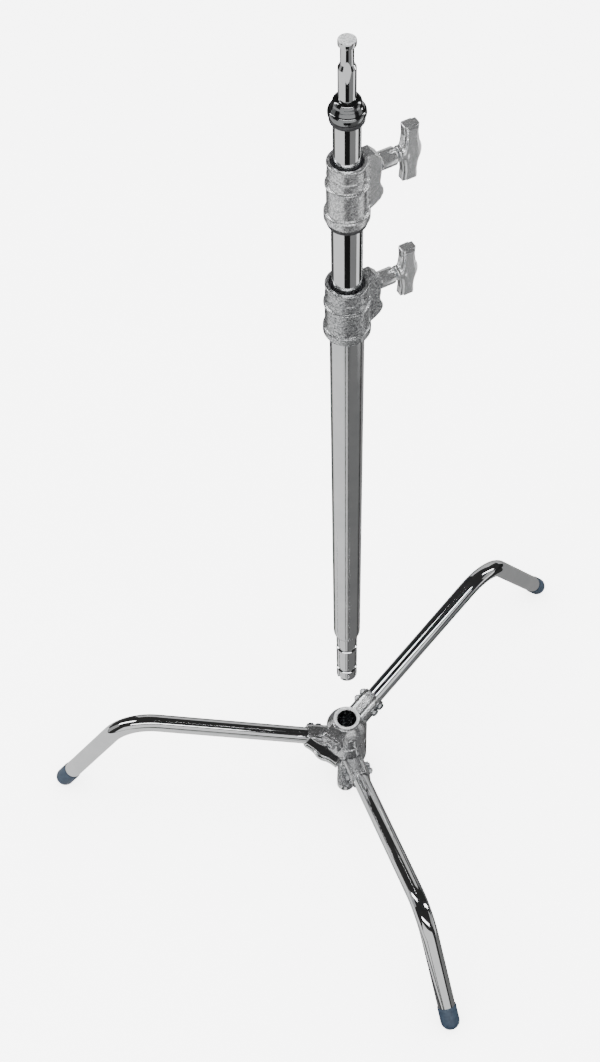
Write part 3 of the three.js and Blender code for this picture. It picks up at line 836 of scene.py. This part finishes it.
def add_floor():
    half, level = 9000, FLOOR - 0.5
    corners = [(-half, -half, level), (half, -half, level), (half, half, level), (-half, half, level)]
    floor = raw_mesh("floor", corners, [[0, 1, 2, 3]])
    material, tree, shader, where = node_material("pale_floor")
    tint = ramp(tree, noise(tree, where, 3.0), (0.86, 0.86, 0.86), (0.88, 0.88, 0.88))
    tree.links.new(tint, shader.inputs["Base Color"])
    shader.inputs["Roughness"].default_value = 0.9
    shader.inputs["Emission Color"].default_value = (1, 1, 1, 1)
    shader.inputs["Emission Strength"].default_value = 3.2
    floor.data.materials.append(material)
    floor.visible_glossy = False
    floor.visible_diffuse = False
    radius, top, sides = 8800, 9000, 48
    circle = [2 * math.pi * k / sides for k in range(sides)]
    points = [(radius * math.cos(a), radius * math.sin(a), z) for z in (FLOOR, top) for a in circle]
    panes = [[k, (k + 1) % sides, sides + (k + 1) % sides, sides + k] for k in range(sides)]
    wall = raw_mesh("backdrop", points, panes)
    wall.data.materials.append(emission_material("backdrop_white", (1, 1, 1), 4.4))
    wall.visible_glossy = False
    wall.visible_shadow = False


# Brightness of the studio floor as the chrome sees it: start and end of each sector, in degrees round
# the column from the -Y side, and its level.
NEAR_REFLECTOR = [
    (-180, -128, 0.12), (-128, -118, 0.05), (-118, -14, 0.9), (-14, -6, 0.05), (-6, 4, 0.9),
    (4, 10, 0.05), (10, 100, 0.17), (100, 118, 0.03), (118, 180, 0.3),
]
FAR_REFLECTOR = [
    (-180, -112, 0.08), (-112, -20, 0.95), (-20, 22, 0.012), (22, 72, 0.22), (72, 98, 1.1),
    (98, 137, 0.02), (137, 180, 0.5),
]


def add_reflector(name, inner, outer, bands):
    for i, (start, end, level) in enumerate(bands):
        steps = max(2, int((end - start) / 6))
        vertices = []
        for radius in (inner, outer):
            for k in range(steps + 1):
                a = math.radians(-90 + start + (end - start) * k / steps)
                vertices.append((radius * math.cos(a), radius * math.sin(a), FLOOR - 0.3))
        row = steps + 1
        faces = [[k, k + 1, row + k + 1, row + k] for k in range(steps)]
        sector = raw_mesh(f"{name}_{i}", vertices, faces)
        sector.data.materials.append(emission_material(f"{name}_glow_{i}", (1, 1, 1), level))
        only_in_reflections(sector)


def add_panel(name, start, end, low, high, level):
    """An upright panel between two points of the floor plan that only the reflections show."""
    panel = raw_mesh(name, [(*start, low), (*end, low), (*end, high), (*start, high)], [[0, 1, 2, 3]])
    panel.data.materials.append(emission_material(f"{name}_glow", (1, 1, 1), level))
    only_in_reflections(panel)


def add_area(name, place, target, size, power, glossy):
    light = bpy.data.lights.new(name, "AREA")
    light.shape = "RECTANGLE"
    light.size, light.size_y = size
    light.energy = power
    lamp = bpy.data.objects.new(name, light)
    bpy.context.collection.objects.link(lamp)
    lamp.location = place
    lamp.rotation_euler = (Vector(target) - Vector(place)).to_track_quat("-Z", "Y").to_euler()
    lamp.visible_glossy = glossy
    lamp.visible_camera = False


def add_lights():
    world = bpy.data.worlds.new("studio")
    world.use_nodes = True
    background = world.node_tree.nodes["Background"]
    background.inputs["Color"].default_value = (1, 1, 1, 1)
    background.inputs["Strength"].default_value = 0.03
    bpy.context.scene.world = world
    add_area("overhead", (0, 0.3, 4.2), (0, 0.2, 0), (6, 6), 520, False)
    add_area("fill", (-2.5, -2.5, 2.6), (0, 0, 0.4), (3, 3), 60, False)
    add_area("strip_left", (-2.2, 0.6, 2.4), (0, 0, 0.5), (0.5, 2.2), 26, True)
    add_area("strip_right", (2.4, 0.9, 1.8), (0, 0, 0.6), (0.35, 2.0), 16, True)
    add_area("softbox_front", (0, -2.2, 3.2), (0, 0, 0.6), (4.5, 0.4), 40, True)


def add_camera():
    width, height = 600, 1062
    focal, centre_x, centre_y = 1437.5, 346.4, 700.0
    sensor = 36
    data = bpy.data.cameras.new("camera")
    data.sensor_width = sensor
    data.lens = focal * sensor / height
    data.shift_x = (width / 2 - centre_x) / height
    data.shift_y = (centre_y - height / 2) / height
    data.clip_end = 60
    camera = bpy.data.objects.new("camera", data)
    bpy.context.collection.objects.link(camera)
    camera.location = (-0.6 * MM, -1024.7 * MM, (1970.8 + FLOOR) * MM)
    camera.rotation_euler = (math.radians(90 - 60.2), 0, 0)
    bpy.context.scene.camera = camera


add_camera()
add_column()
for leg_name, leg_data in LEGS.items():
    add_leg(leg_name, leg_data)
add_socket("left", LEGS["left"])
add_socket("front", LEGS["front"], stop_lug())
add_hub()
finish_kept_nodes()
add_floor()
add_reflector("near_reflector", 30, 950, NEAR_REFLECTOR)
add_reflector("far_reflector", 950, 6000, FAR_REFLECTOR)
add_panel("front_panel", (-3600, -3200), (3600, -3200), 250, 2700, 0.95)
add_panel("back_panel", (-1500, 3600), (1900, 3600), 150, 2200, 0.6)
add_panel("left_panel", (-3800, -700), (-3800, 1300), 150, 2200, 0.4)
add_panel("right_panel", (3800, -900), (3800, 900), 150, 2200, 0.4)
add_lights()
